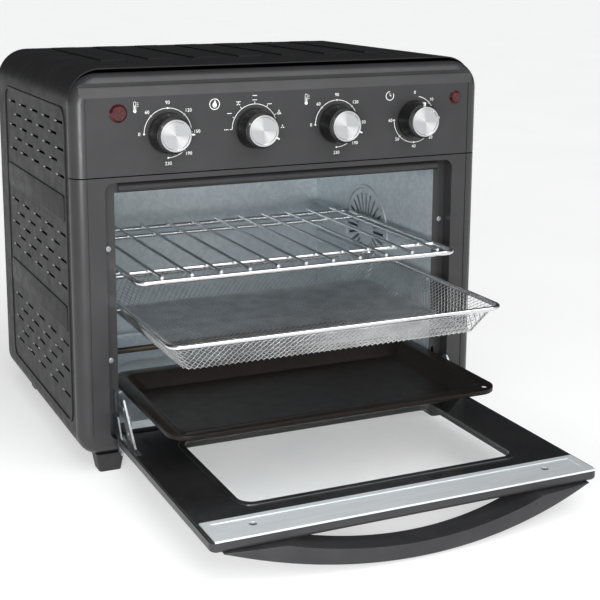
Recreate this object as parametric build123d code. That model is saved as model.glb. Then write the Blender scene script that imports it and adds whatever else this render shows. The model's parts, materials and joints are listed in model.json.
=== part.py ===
"""Countertop toaster oven with a drop-down door, rack, mesh basket and baking tray.

Millimetres, +Z up, +X to the right as seen from the front, the front faces -Y.
The origin is the centre of the whole object's footprint, on the surface it stands on.
Rest position: door open level, rack, basket and tray drawn out.
Pieces are drawn with Y measured back from the fascia's front face, then moved by FRONT_Y.
"""
from build123d import *
import os

# ---- driving dimensions -------------------------------------------------------------------
WIDTH = 400.0            # outside width of fascia and casing
CASE_TOP = 358.0         # top of the wrapped casing
CASE_FRONT = 13.4        # front edge of the casing, behind the fascia
CASE_BACK = 283.0        # rear edge of the casing
SIDE_BOTTOM = 34.0       # lower edge of the casing's sides
CASE_R = 30.0            # radius of the casing's top corners
SHEET = 1.0              # casing sheet
LINER = 0.8              # galvanised cavity sheet

REAR_INNER = 281.0       # rear panel, set into the casing
REAR_OUTER = 282.0
BASE_HALF = 184.0        # base pan
BASE_BACK = 279.0
GLAND_X = 150.0          # mains lead's way out
GLAND_Z = 62.0
GLAND_BORE_R = 3.6

FACE_DEPTH = 12.8        # depth of the fascia mouldings
FACE_BOTTOM = 17.0
FACE_TOP = 354.0
FACE_R = 26.0
FACE_EDGE = 11.0         # roll round the fascia's front edge
SHELL_FOOT_R = 20.0      # lower corners of the fascia and the casing
FACE_SKIN = 2.4          # wall of the hollow frame moulding
SEAM_Z = 265.5           # top of the door frame moulding
SEAM_GAP = 1.0

RECESS_HALF = 172.0      # recess that the door closes into
RECESS_BOTTOM = 30.0
RECESS_TOP = 261.0
RECESS_R = 8.0

CAVITY_HALF = 160.0
CAVITY_FLOOR = 40.0
CAVITY_TOP = 262.0
CAVITY_FRONT = 14.0
CAVITY_BACK = 270.0
FLANGE_FRONT = 13.0      # plate between the fascia and the cavity
MOUTH_TOP = 250.0        # lower edge of the flange above the opening

HINGE_Y = -7.0           # door pivot, from the fascia's front face
HINGE_Z = 26.0
PIN_R = 2.5
PIN_CLEARANCE = 0.05
ARM_INNER = 162.6        # hinge lever on the door, between two planes of X
ARM_OUTER = 164.4
CHEEK_INNER = 165.0      # fixed hinge cheek beside it
CHEEK_OUTER = 166.4

DOOR_HALF = 170.0
DOOR_FREE = -240.0       # free edge of the open door
DOOR_ROOT = -12.0        # edge of the open door next to the oven
DOOR_UNDER = 29.2        # outer face of the open door
DOOR_FRAME_TOP = 37.0
DOOR_INNER = 38.2        # inner face of the open door
DOOR_SKIN = 1.6          # wall of the hollow door frame
DOOR_R = 6.0             # corners of the door's outline
WINDOW_HALF = 124.0
WINDOW_FRONT = -188.0
WINDOW_BACK = -48.0
BEAD_WIDTH = 5.0         # raised bead round the glass
BEAD_HEIGHT = 1.2
GLASS_T = 3.2
TRIM_BACK = -207.0
TRIM_T = 1.0
HANDLE_SCREW_X = 130.0
HANDLE_SCREW_Y = -222.0
HANDLE_SCREW_R = 2.0
HANDLE_SCREW_DEEP = 8.0

HANDLE_FRONT = -255.0    # the bow bulges forwards as well as down
HANDLE_BACK = -233.0     # back of the bow at its middle
HANDLE_END_FRONT = -241.0
HANDLE_END_BACK = -205.0
HANDLE_LOW = 3.0         # lowest point of the bow, above the surface
HANDLE_THICK = 12.0
HANDLE_HALF = 162.0      # half the chord of the bow's outer arc
HANDLE_GAP_HALF = 112.0  # half the chord of the finger gap

RACK_Z = 179.7
RACK_OUT = 40.0          # how far each insert stands out of the fascia at rest
RACK_LENGTH = 225.0
RACK_HALF = 157.0
RACK_WIRE_R = 2.4
ROD_R = 1.5
ROD_COUNT = 11
ROD_PITCH = 27.0

BASKET_Z = 146.2
BASKET_OUT = 120.0
BASKET_LENGTH = 246.0
BASKET_WIRE_R = 2.2
BASKET_BOTTOM = 121.0
BASKET_SLOPE = 14.0
BASKET_SKIN = 1.0

TRAY_Z = 72.0            # top of the tray's rim
TRAY_OUT = 120.0
TRAY_LENGTH = 181.0
TRAY_HALF = 155.5
TRAY_BOTTOM = 58.5
TRAY_RIM = 11.0
TRAY_SLOPE = 11.0
TRAY_SKIN = 1.0
TRAY_LIP = 4.0
TRAY_R = 20.0

KNOB_X = [-114.5 + 81.3 * i for i in range(4)]
KNOB_NAMES = ["upper_temp", "function", "lower_temp", "timer"]
KNOB_Z = 301.5
KNOB_BASE_R = 18.0
KNOB_TIP_R = 16.0
KNOB_HEIGHT = 18.0
KNOB_STANDOFF = 1.5
CAP_R = 14.8
CAP_T = 3.5
SHAFT_R = 3.0
SHAFT_INSET = 4.0        # the shaft stops this far inside the knob
SHAFT_BACK = 22.0

LAMP_Z = 320.5
LAMPS = {"heating": (-158.7, 8.0), "power": (173.4, 6.3)}

HEATER_R = 3.2
HEATER_Y = [90.0, 190.0]
HEATER_END = 168.0
LOWER_HEATER_Z = 50.0
UPPER_HEATER_Z = 240.0

FAN_Y = 150.0
FAN_Z = 165.0
FAN_R = 42.0
FAN_CUP_R = 50.0
FAN_CUP_DEEP = 16.2      # fan housing, outwards from the liner

FOOT_TOP = 17.0
FOOT_X = 171.0
FOOT_Y = {"front": 15.0, "rear": 257.0}

WHOLE_FRONT = HANDLE_FRONT
WHOLE_BACK = 288.0       # end of the cord gland
FRONT_Y = -(WHOLE_FRONT + WHOLE_BACK) / 2    # fascia's front face in the object's frame

nodes = {}


# ---- small helpers ------------------------------------------------------------------------
def block(x0, x1, y0, y1, z0, z1):
    """A box between two corners."""
    centre = Pos((x0 + x1) / 2, (y0 + y1) / 2, (z0 + z1) / 2)
    return centre * Box(x1 - x0, y1 - y0, z1 - z0)


def rod_x(radius, x0, x1, y, z):
    """A round bar along X."""
    return Pos((x0 + x1) / 2, y, z) * Rot(0, 90, 0) * Cylinder(radius, x1 - x0)


def rod_y(radius, y0, y1, x, z):
    """A round bar along Y."""
    return Pos(x, (y0 + y1) / 2, z) * Rot(90, 0, 0) * Cylinder(radius, y1 - y0)


def rod_z(radius, z0, z1, x, y):
    """A round bar along Z."""
    return Pos(x, y, (z0 + z1) / 2) * Cylinder(radius, z1 - z0)


def frustum_y(back_r, front_r, length, x, y_back, z):
    """A tapered disc along Y, from y_back forwards."""
    shape = Cone(back_r, front_r, length, align=(Align.CENTER, Align.CENTER, Align.MIN))
    return Pos(x, y_back, z) * Rot(90, 0, 0) * shape


def upright(outline, y0, y1):
    """Extrude an outline drawn in X and Z from y0 back to y1."""
    plane = Plane(origin=(0, y0, 0), x_dir=(1, 0, 0), z_dir=(0, -1, 0))
    return extrude(plane * outline, amount=-(y1 - y0))


def side_plate(points, x0, x1):
    """Extrude a polygon drawn in Y and Z from x0 to x1."""
    plane = Plane(origin=(x0, 0, 0), x_dir=(0, 1, 0), z_dir=(1, 0, 0))
    return extrude(plane * Polygon(*points, align=None), amount=x1 - x0)


def round_rect(x0, x1, v0, v1, radius):
    """A rounded rectangle in a sketch plane, between two corners."""
    centre = Pos((x0 + x1) / 2, (v0 + v1) / 2)
    return centre * RectangleRounded(x1 - x0, v1 - v0, radius)


def arch(half, bottom, top, radius, foot_radius):
    """A rectangle with its two upper corners rounded, and its lower corners less so."""
    sketch = Pos(0, (bottom + top) / 2) * Rectangle(2 * half, top - bottom)
    sketch = fillet(sketch.vertices().sort_by(Axis.Y)[-2:], radius)
    return fillet(sketch.vertices().sort_by(Axis.Y)[:2], foot_radius)


def flat_loop(x_half, y0, y1, z, wire_r, corner_r):
    """A closed wire loop lying level, given by its centreline."""
    path = Pos(0, (y0 + y1) / 2, z) * RectangleRounded(2 * x_half, y1 - y0, corner_r)
    line = path.faces()[0].outer_wire()
    start = line @ 0
    section = Plane(origin=start, z_dir=line % 0) * Circle(wire_r)
    return sweep(section, path=line)


def mirrored(part):
    """The same part on the other side of the oven."""
    return mirror(part, about=Plane.YZ)


def both_sides(part):
    """A piece and its mirror image, as one group."""
    return Compound([*part.solids(), *mirrored(part).solids()])


def group(parts):
    """Separate solids that share a node."""
    return Compound([solid for part in parts for solid in part.solids()])


# ---- casing -------------------------------------------------------------------------------
def side_slots():
    """Staggered ventilation slots in three banks on each side."""
    slot_length, slot_height = 22.0, 2.4
    pitch_y, pitch_z = 45.0, 11.8
    bank_tops = [310.0, 211.0, 112.0]
    first_y = 27.0
    slots = []
    for top in bank_tops:
        for row in range(5):
            count = 5 if row % 2 == 0 else 4
            shift = 0.0 if row % 2 == 0 else pitch_y / 2
            z = top - row * pitch_z
            for column in range(count):
                y = first_y + shift + column * pitch_y
                slots.append(block(-WIDTH, WIDTH, y, y + slot_length, z, z + slot_height))
    return slots


def outer_casing():
    """One sheet wrapped over the top and sides and turned in below, with seven raised ribs."""
    outline = arch(WIDTH / 2, FACE_BOTTOM, CASE_TOP, CASE_R, SHELL_FOOT_R)
    outer = upright(outline, CASE_FRONT, CASE_BACK)
    inner_outline = arch(WIDTH / 2 - SHEET, FACE_BOTTOM + SHEET, CASE_TOP - SHEET, CASE_R - SHEET,
                         SHELL_FOOT_R - SHEET)
    inner = upright(inner_outline, CASE_FRONT - 1, CASE_BACK + 1)
    half_open = BASE_HALF + 0.1
    underside = block(-half_open, half_open, CASE_FRONT - 1, CASE_BACK + 1, 0, SIDE_BOTTOM)
    rib_pitch, half_rib, rib_height = 45.0, 12.0, 1.2
    rib_front, rib_back = 88.0, 268.0
    ribs = []
    for i in range(-3, 4):
        x = i * rib_pitch
        rib = block(x - half_rib, x + half_rib, rib_front, rib_back,
                    CASE_TOP - SHEET / 2, CASE_TOP + rib_height)
        ribs.append(rib)
    return outer - inner - underside + ribs - side_slots()


def rear_panel():
    """Flat panel inside the casing's rear edge, slotted, with the mains lead's hole."""
    inset = SHEET + 0.1
    outline = arch(WIDTH / 2 - inset, SIDE_BOTTOM + 2, CASE_TOP - inset, CASE_R - inset, 16)
    plate = upright(outline, REAR_INNER, REAR_OUTER)
    slot_length, slot_height = 24.0, 3.0
    slots = []
    for row in range(9):
        for column in range(5):
            x = -132 + 60 * column
            z = 190 + 12 * row
            slots.append(block(x, x + slot_length, REAR_INNER - 1, REAR_OUTER + 1, z, z + slot_height))
    gland_hole = rod_y(8.0, REAR_INNER - 1, REAR_OUTER + 1, GLAND_X, GLAND_Z)
    return plate - slots - gland_hole


def base_panel():
    """Shallow pan under the cavity, with six vents."""
    outer = block(-BASE_HALF, BASE_HALF, CAVITY_FRONT, BASE_BACK, FOOT_TOP, SIDE_BOTTOM)
    inner_half = BASE_HALF - SHEET
    inner = block(-inner_half, inner_half, CAVITY_FRONT + SHEET, BASE_BACK - SHEET,
                  FOOT_TOP + SHEET, SIDE_BOTTOM + 1)
    vent_pitch, half_vent = 40.0, 10.0
    vents = []
    for i in range(6):
        x = (i - 2.5) * vent_pitch
        vents.append(block(x - half_vent, x + half_vent, 120, 180, FOOT_TOP - 1, FOOT_TOP + 2))
    return outer - inner - vents


def feet(which):
    """A pair of tapered feet."""
    y = FOOT_Y[which]
    top = Plane.XY.offset(FOOT_TOP) * Pos(FOOT_X, y) * RectangleRounded(26, 24, 4)
    bottom = Plane.XY * Pos(FOOT_X, y) * RectangleRounded(20, 18, 3)
    return both_sides(loft([bottom, top]))


def cord_gland():
    """Collar that the mains lead passes through."""
    flange = rod_y(11.0, REAR_OUTER, REAR_OUTER + 3, GLAND_X, GLAND_Z)
    sleeve = rod_y(7.9, REAR_INNER - 5, WHOLE_BACK, GLAND_X, GLAND_Z)
    return flange + sleeve - rod_y(GLAND_BORE_R, REAR_INNER - 11, WHOLE_BACK + 2, GLAND_X, GLAND_Z)


def casing_screws():
    """Heads of the screws that hold the rear panel."""
    head_r, head_height = 3.5, 2.2
    screws = []
    for x, z in [(-180, 60), (180, 60), (-180, 200), (180, 200), (-120, 345), (120, 345)]:
        screws.append(rod_y(head_r, REAR_OUTER, REAR_OUTER + head_height, x, z))
    return group(screws)


# ---- fascia -------------------------------------------------------------------------------
def face_block():
    """Outline of the whole fascia with a rounded front edge."""
    outline = arch(WIDTH / 2, FACE_BOTTOM, FACE_TOP, FACE_R, SHELL_FOOT_R)
    solid = upright(outline, 0, FACE_DEPTH)
    return fillet(solid.faces().sort_by(Axis.Y)[0].edges(), FACE_EDGE)


def edge_grooves(z0, z1):
    """Fine upright grooves that set off the rolled side edges."""
    groove_x, groove_width, groove_depth = 187.5, 1.0, 0.8
    right = block(groove_x - groove_width / 2, groove_x + groove_width / 2, -1, groove_depth, z0, z1)
    return [right, mirrored(right)]


def control_panel():
    """Upper half of the fascia, with a sloped band and a groove above the flat face."""
    z0 = SEAM_Z + SEAM_GAP
    body = face_block() & block(-WIDTH, WIDTH, -1, FACE_DEPTH, z0, FACE_TOP + 1)
    slope_low, slope_high, groove_high, back = 334.0, 342.4, 346.4, 3.4
    band = side_plate([(-1, slope_low), (0, slope_low), (back, slope_high), (back, groove_high),
                       (-1, groove_high)], -WIDTH, WIDTH)
    groove = block(-WIDTH, WIDTH, -1, back + 1.4, slope_high + 0.5, groove_high - 0.6)
    hollow = block(-193, 193, 2.6, FACE_DEPTH + 1, z0 + 2.4, slope_low - 2)
    upper_hollow = block(-170, 170, 7.2, FACE_DEPTH + 1, slope_low - 2, FACE_TOP - 3)
    body = body - band - groove - hollow - upper_hollow - edge_grooves(z0 - 1, slope_low)
    for x in KNOB_X:
        body -= rod_y(4.5, -1, 5, x, KNOB_Z)
    for x, radius in LAMPS.values():
        body -= rod_y(radius - 1.5, -1, 5, x, LAMP_Z)
    return body


def frame_pocket(inset, front, back):
    """Hollow of the frame moulding, inset from its sides and bottom, from front to back."""
    half = WIDTH / 2 - inset
    corner = SHELL_FOOT_R - inset
    return upright(round_rect(-half, half, FACE_BOTTOM + inset, SEAM_Z - FACE_SKIN, corner), front, back)


def front_frame():
    """Hollow moulding round the opening, notched for the door's hinges."""
    body = face_block() & block(-WIDTH, WIDTH, -1, FACE_DEPTH, FACE_BOTTOM, SEAM_Z)
    recess_outline = round_rect(-RECESS_HALF, RECESS_HALF, RECESS_BOTTOM, RECESS_TOP, RECESS_R)
    recess = upright(recess_outline, -1, FACE_DEPTH + 1)
    back = FACE_DEPTH + 1
    roll_inset = 8.0
    hollow = frame_pocket(FACE_SKIN, roll_inset, back) + frame_pocket(roll_inset, FACE_SKIN, back)
    around_recess = upright(round_rect(
        -RECESS_HALF - FACE_SKIN, RECESS_HALF + FACE_SKIN, RECESS_BOTTOM - FACE_SKIN,
        RECESS_TOP + FACE_SKIN, RECESS_R + FACE_SKIN), 0, FACE_DEPTH + 2)
    body = body - (hollow - around_recess) - recess - edge_grooves(FACE_BOTTOM + SHELL_FOOT_R, SEAM_Z + 1)
    cheek_notch = block(CHEEK_INNER - 1.5, CHEEK_OUTER + 2.1, -1, 0.6, FACE_BOTTOM - 1, RECESS_BOTTOM + 1)
    arm_notch = block(ARM_INNER - 0.8, ARM_OUTER + 0.8, -1, 5.2, HINGE_Z - 1.5, RECESS_BOTTOM + 1)
    return body - both_sides(cheek_notch + arm_notch)


def lamp_lens(name):
    """Tapered lens with a stem through the panel."""
    x, radius = LAMPS[name]
    lens = frustum_y(radius, radius - 2, 2.6, x, 0, LAMP_Z)
    stem = rod_y(radius - 1.6, 0, 12, x, LAMP_Z)
    return lens + stem


def control_body(index):
    """Switch, thermostat or timer behind a knob, bored for its shaft."""
    x = KNOB_X[index]
    front = 3.2
    back = 40.0 if KNOB_NAMES[index] == "timer" else 30.0
    body = block(x - 19, x + 19, front, back, KNOB_Z - 17, KNOB_Z + 17)
    neck = rod_y(4.3, 0.5, front, x, KNOB_Z)
    return body + neck - rod_y(SHAFT_R + PIN_CLEARANCE, -1, back - 6, x, KNOB_Z)


def knob_shaft(index):
    return rod_y(SHAFT_R, -KNOB_HEIGHT + SHAFT_INSET, SHAFT_BACK, KNOB_X[index], KNOB_Z)


def knob_body(index):
    """Tapered grip, bored from behind for the shaft."""
    x = KNOB_X[index]
    length = KNOB_HEIGHT - KNOB_STANDOFF
    skirt = frustum_y(KNOB_BASE_R, KNOB_TIP_R, length, x, -KNOB_STANDOFF, KNOB_Z)
    skirt = fillet(skirt.edges().sort_by(Axis.Y)[0], 1.0)
    return skirt - rod_y(SHAFT_R, -KNOB_HEIGHT + SHAFT_INSET, 0, x, KNOB_Z)


def knob_cap(index):
    """Spun disc on the grip's front, dished inside a rim."""
    x = KNOB_X[index]
    dish_depth = 0.6
    cap = frustum_y(CAP_R, CAP_R - 1.0, CAP_T, x, -KNOB_HEIGHT, KNOB_Z)
    dish = frustum_y(CAP_R - 3.0, CAP_R - 2.2, 1.0, x, -KNOB_HEIGHT - CAP_T + dish_depth, KNOB_Z)
    return cap - dish


# ---- cavity -------------------------------------------------------------------------------
def cavity_flange():
    """Plate behind the fascia with the mouth of the cavity and the hinge levers' slots."""
    y0, y1 = FLANGE_FRONT - 1, CAVITY_FRONT + 1
    plate = block(-186, 186, FLANGE_FRONT, CAVITY_FRONT, 24, 264)
    mouth = block(-CAVITY_HALF, CAVITY_HALF, y0, y1, CAVITY_FLOOR, MOUTH_TOP)
    slot = block(ARM_INNER - 1, ARM_OUTER + 0.5, y0, y1, 29, 72)
    return plate - mouth - both_sides(slot)


def top_bar():
    """Half-round lip that the door meets along the top of the opening."""
    radius, centre_z = 4.5, 254.6
    bar = rod_x(radius, -157, 162, FLANGE_FRONT, centre_z)
    return bar & block(-WIDTH, WIDTH, 0, FLANGE_FRONT, centre_z - 10, centre_z + 10)


def cavity_side_wall(side):
    """Side of the liner; the right one has a ring of slots in front of the fan."""
    x0, x1 = CAVITY_HALF, CAVITY_HALF + LINER
    wall = block(x0, x1, CAVITY_FRONT, CAVITY_BACK, CAVITY_FLOOR, CAVITY_TOP)
    for y in HEATER_Y:
        for z in (LOWER_HEATER_Z, UPPER_HEATER_Z):
            wall -= rod_x(4.2, x0 - 1, x1 + 1, y, z)
    if side == "left":
        return mirrored(wall)
    slot_count, slot_middle_r = 24, 28.0
    slots = []
    for i in range(slot_count):
        turn = Pos(x0, FAN_Y, FAN_Z) * Rot(360 / slot_count * i, 0, 0)
        slots.append(turn * Pos(0, 0, slot_middle_r) * Box(4, 3, 22))
    return wall - slots


def cavity_floor():
    return block(-CAVITY_HALF - LINER, CAVITY_HALF + LINER, CAVITY_FRONT, CAVITY_BACK,
                 CAVITY_FLOOR - LINER, CAVITY_FLOOR)


def cavity_top():
    return block(-CAVITY_HALF - LINER, CAVITY_HALF + LINER, CAVITY_FRONT, CAVITY_BACK,
                 CAVITY_TOP, CAVITY_TOP + LINER)


def cavity_rear_wall():
    return block(-CAVITY_HALF - LINER, CAVITY_HALF + LINER, CAVITY_BACK, CAVITY_BACK + LINER,
                 CAVITY_FLOOR - LINER, CAVITY_TOP + LINER)


def rack_runners():
    """Three ledges down the right wall, under the rack, the basket and the tray."""
    play = 0.4
    rack_top = RACK_Z - RACK_WIRE_R - play
    basket_top = BASKET_Z - BASKET_WIRE_R - play
    tray_top = TRAY_Z - TRAY_LIP - play
    front, back = CAVITY_FRONT + 6, CAVITY_BACK - 8
    ledge_t, web_height = 1.2, 4.8
    ledges = []
    for top, inner in ((rack_top, 151.0), (basket_top, 154.6), (tray_top, 150.0)):
        low = top - ledge_t
        ledge = block(inner, CAVITY_HALF, front, back, low, top)
        web = block(CAVITY_HALF - 1.0, CAVITY_HALF, front, back, low - web_height, low)
        ledges.append(ledge + web)
    return group(ledges)


def crumb_tray():
    """Shallow tray on the cavity floor, with a turned-down lip at its front."""
    half, back = 150.0, 264.0
    low = CAVITY_FLOOR + 0.6
    top = low + SHEET
    rim_top = top + 3.0
    plate = block(-half, half, 9.4, back, low, top)
    lip = block(-half, half, 9.0, 10.2, 34.5, top)
    right_rail = block(half - 1, half, 16, back, top, rim_top)
    back_rail = block(-half + 1, half - 1, back - 1, back, top, rim_top)
    return plate + lip + right_rail + mirrored(right_rail) + back_rail


def heaters(z):
    return group(rod_x(HEATER_R, -HEATER_END, HEATER_END, y, z) for y in HEATER_Y)


def heater_insulators():
    """Ceramic collars round the heaters' ends, where they pass the liner."""
    outer = HEATER_END - 2
    rings = []
    for y in HEATER_Y:
        for z in (LOWER_HEATER_Z, UPPER_HEATER_Z):
            collar = rod_x(4.1, CAVITY_HALF - 1.5, outer, y, z)
            head = rod_x(6.5, CAVITY_HALF + LINER + 0.1, outer, y, z)
            ring = collar + head - rod_x(HEATER_R + 0.02, CAVITY_HALF - 10, HEATER_END + 2, y, z)
            rings += [ring, mirrored(ring)]
    return group(rings)


def fan_housing():
    """Round cup on the outside of the right liner."""
    inner_face = CAVITY_HALF + LINER
    outer_face = inner_face + FAN_CUP_DEEP
    cup = rod_x(FAN_CUP_R, inner_face, outer_face, FAN_Y, FAN_Z)
    hollow = rod_x(FAN_CUP_R - SHEET, inner_face - 1, outer_face - SHEET, FAN_Y, FAN_Z)
    return cup - hollow - rod_x(SHAFT_R + 1.5, outer_face - 7, outer_face + 3, FAN_Y, FAN_Z)


def fan_rotor():
    """Hub and disc with ten slanted blades."""
    blade_count = 10
    hub = rod_x(9, 163.5, 173, FAN_Y, FAN_Z)
    disc = rod_x(FAN_R, 172, 173, FAN_Y, FAN_Z)
    rotor = hub + disc
    for i in range(blade_count):
        turn = Pos(0, FAN_Y, FAN_Z) * Rot(360 / blade_count * i, 0, 0)
        rotor += turn * Pos(168, 0, 26) * Rot(0, 0, 20) * Box(8.6, 1.0, 30)
    return rotor - rod_x(SHAFT_R, 160, 180, FAN_Y, FAN_Z)


def fan_shaft():
    return rod_x(SHAFT_R, 164, 188, FAN_Y, FAN_Z)


def fan_motor():
    can = rod_x(19, 178.5, 197, FAN_Y, FAN_Z)
    return can - rod_x(SHAFT_R + PIN_CLEARANCE, 178, 190, FAN_Y, FAN_Z)


# ---- door hinge ---------------------------------------------------------------------------
def hinge_bracket():
    """Right-hand fixed cheek that carries the pivot in front of the fascia."""
    outline = [(13, 33), (13, 52), (-3, 52), (-13, 34), (-13, 20), (-2, 20), (-2, 31.5), (5, 33)]
    cheek = side_plate(outline, CHEEK_INNER, CHEEK_OUTER)
    return cheek - rod_x(PIN_R, 160, 170, HINGE_Y, HINGE_Z)


def hinge_pins():
    """Right-hand pivot pin with a small head outside the cheek."""
    pin = rod_x(PIN_R, ARM_INNER, CHEEK_OUTER, HINGE_Y, HINGE_Z)
    head = rod_x(PIN_R + 1.2, CHEEK_OUTER, CHEEK_OUTER + 1, HINGE_Y, HINGE_Z)
    return pin + head


def hinge_arm():
    """Right-hand lever on the door, which swings back through the flange's slot."""
    lug = rod_x(6.0, ARM_INNER, ARM_OUTER, HINGE_Y, HINGE_Z)
    foot = block(ARM_INNER, ARM_OUTER, -58, HINGE_Y, DOOR_UNDER + 1, DOOR_INNER - 1)
    lever = side_plate([(-46, 36), (-32, 30), (-6, 66), (-9, 71), (-14, 71)], ARM_INNER, ARM_OUTER)
    arm = lug + foot + lever
    return arm - rod_x(PIN_R + PIN_CLEARANCE, 160, 170, HINGE_Y, HINGE_Z)


def hinge_spring():
    """Right-hand balance spring, drawn as the sleeve its coils fill."""
    x, z = 172.0, 46.0
    front, back = 60.0, 128.0
    return rod_y(4.0, front, back, x, z) - rod_y(2.8, front - 1, back + 1, x, z)


# ---- door ---------------------------------------------------------------------------------
def door_outline(inset, radius):
    return round_rect(-DOOR_HALF + inset, DOOR_HALF - inset, DOOR_FREE + inset, DOOR_ROOT - inset, radius)


def hinge_notches(z0, z1):
    """Clear the cheek and the lever at the door's two hinged corners."""
    notch = block(ARM_INNER, CHEEK_OUTER + 1.8, -62, DOOR_ROOT + 1, z0, z1)
    return both_sides(notch)


def window_outline(margin, radius):
    return round_rect(-WINDOW_HALF - margin, WINDOW_HALF + margin,
                      WINDOW_FRONT - margin, WINDOW_BACK + margin, radius)


def slab(outline, z0, z1):
    """Extrude an outline drawn in X and Y from z0 up to z1."""
    return extrude(Plane.XY.offset(z0) * outline, amount=z1 - z0)


def door_frame():
    """Hollow outer frame of the door, with bosses round the screws and at the hinges."""
    plate = slab(door_outline(0, DOOR_R), DOOR_UNDER, DOOR_FRAME_TOP)
    plate = fillet(plate.faces().sort_by(Axis.Z)[0].edges(), 3.0)
    pocket = slab(door_outline(DOOR_SKIN, DOOR_R - DOOR_SKIN), DOOR_UNDER + DOOR_SKIN, DOOR_FRAME_TOP + 1)
    pocket -= slab(window_outline(4 + DOOR_SKIN, 14 + DOOR_SKIN), DOOR_UNDER, DOOR_FRAME_TOP + 2)
    hinge_block = block(ARM_INNER - 3, DOOR_HALF, -65, DOOR_ROOT, DOOR_UNDER, DOOR_FRAME_TOP + 2)
    pocket -= both_sides(hinge_block)
    for x in (-HANDLE_SCREW_X, HANDLE_SCREW_X):
        pocket -= rod_z(HANDLE_SCREW_R + 3, DOOR_UNDER, DOOR_FRAME_TOP + 2, x, HANDLE_SCREW_Y)
    window = slab(window_outline(4, 14), DOOR_UNDER - 1, DOOR_INNER + 3)
    plate = plate - pocket - window - hinge_notches(DOOR_UNDER - 1, DOOR_INNER + 1)
    for x in (-HANDLE_SCREW_X, HANDLE_SCREW_X):
        plate -= rod_z(HANDLE_SCREW_R, DOOR_UNDER - 1, DOOR_INNER, x, HANDLE_SCREW_Y)
    return plate


def door_inner_panel():
    """Enamelled sheet over the frame, with a raised bead round the glass."""
    z0 = DOOR_FRAME_TOP
    plate = slab(door_outline(0.8, DOOR_R), z0, DOOR_INNER)
    bead = slab(window_outline(BEAD_WIDTH, 16), z0, DOOR_INNER + BEAD_HEIGHT)
    bead = fillet(bead.faces().sort_by(Axis.Z)[-1].edges(), 1.0)
    window = slab(window_outline(0, 12), z0 - 1, z0 + 7)
    plate = plate + bead - window - hinge_notches(z0 - 1, DOOR_INNER + 1)
    for x in (-HANDLE_SCREW_X, HANDLE_SCREW_X):
        plate -= rod_z(3.6, z0 - 1, DOOR_INNER + 1, x, HANDLE_SCREW_Y)
    return plate


def door_glass():
    return slab(window_outline(3.5, 13), DOOR_FRAME_TOP - GLASS_T, DOOR_FRAME_TOP)


def door_trim_strip():
    """Strip along the free edge, with a shallow pan and a lip over the edge."""
    half = DOOR_HALF - 3.0
    top = DOOR_INNER + TRIM_T
    lip_back = DOOR_FREE + 1.2
    strip = block(-half, half, lip_back, TRIM_BACK, DOOR_INNER, top)
    lip = block(-half, half, DOOR_FREE - 0.4, lip_back, DOOR_INNER - 0.6, top)
    lip = lip - block(-half, half, DOOR_FREE, DOOR_FREE + 2, DOOR_INNER - 1, DOOR_INNER)
    pan = block(-half + 7, half - 7, DOOR_FREE + 7, TRIM_BACK - 5, top - 0.5, top + 4)
    strip = strip + lip - pan
    for x in (-HANDLE_SCREW_X, HANDLE_SCREW_X):
        strip -= rod_z(3.2, DOOR_INNER - 1, DOOR_INNER + 5, x, HANDLE_SCREW_Y)
    return strip


def bow_outline(half, end, middle, far_end):
    """Area between an arc from end to middle to end and the straight line far_end."""
    arc = ThreePointArc((-half, end), (0, middle), (half, end))
    rest = Polyline((half, end), (half, far_end), (-half, far_end), (-half, end))
    return make_face([arc, rest])


def door_handle():
    """Bow under the free edge: an arc seen from the front, bulging forwards seen from above."""
    top = DOOR_UNDER
    y0, y1 = HANDLE_FRONT - 5, HANDLE_END_BACK + 5
    arc = ThreePointArc((-HANDLE_HALF, top), (0, HANDLE_LOW), (HANDLE_HALF, top))
    bow = upright(make_face([arc, Line((HANDLE_HALF, top), (-HANDLE_HALF, top))]), y0, y1)
    bow -= upright(bow_outline(HANDLE_GAP_HALF, top, HANDLE_LOW + HANDLE_THICK, top + 5), y0, y1)
    band = bow_outline(HANDLE_HALF, HANDLE_END_FRONT, HANDLE_FRONT, y1)
    band -= bow_outline(HANDLE_HALF, HANDLE_END_BACK, HANDLE_BACK, y1 + 5)
    bow &= slab(band, HANDLE_LOW - 1, top + 1)
    for x in (-HANDLE_SCREW_X, HANDLE_SCREW_X):
        bow -= rod_z(HANDLE_SCREW_R, DOOR_UNDER - HANDLE_SCREW_DEEP, DOOR_UNDER + 1, x, HANDLE_SCREW_Y)
    return bow


def handle_screws():
    screws = []
    for x in (-HANDLE_SCREW_X, HANDLE_SCREW_X):
        shank = rod_z(HANDLE_SCREW_R, DOOR_UNDER - HANDLE_SCREW_DEEP, DOOR_FRAME_TOP, x, HANDLE_SCREW_Y)
        head = rod_z(3.1, DOOR_FRAME_TOP, DOOR_FRAME_TOP + 1.0, x, HANDLE_SCREW_Y)
        screws.append(shank + head)
    return group(screws)


# ---- rack, basket and tray ----------------------------------------------------------------
def rack_frame():
    half = RACK_HALF - RACK_WIRE_R
    front = -RACK_OUT + RACK_WIRE_R
    back = -RACK_OUT + RACK_LENGTH - RACK_WIRE_R
    return flat_loop(half, front, back, RACK_Z, RACK_WIRE_R, 10)


def rack_rods():
    """Bars that carry the food, resting on the frame, and two cross bars under them."""
    top = RACK_Z + RACK_WIRE_R + ROD_R + 0.02
    first = -ROD_PITCH * (ROD_COUNT - 1) / 2
    bars = []
    for i in range(ROD_COUNT):
        x = first + i * ROD_PITCH
        bars.append(rod_y(ROD_R, -RACK_OUT + 1.4, -RACK_OUT + RACK_LENGTH - 1.4, x, top))
    inner = RACK_HALF - 2 * RACK_WIRE_R - 0.1
    for y in (-RACK_OUT + 40, -RACK_OUT + RACK_LENGTH - 40):
        bars.append(rod_x(1.9, -inner, inner, y, top - ROD_R - 1.92))
    return group(bars)


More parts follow.
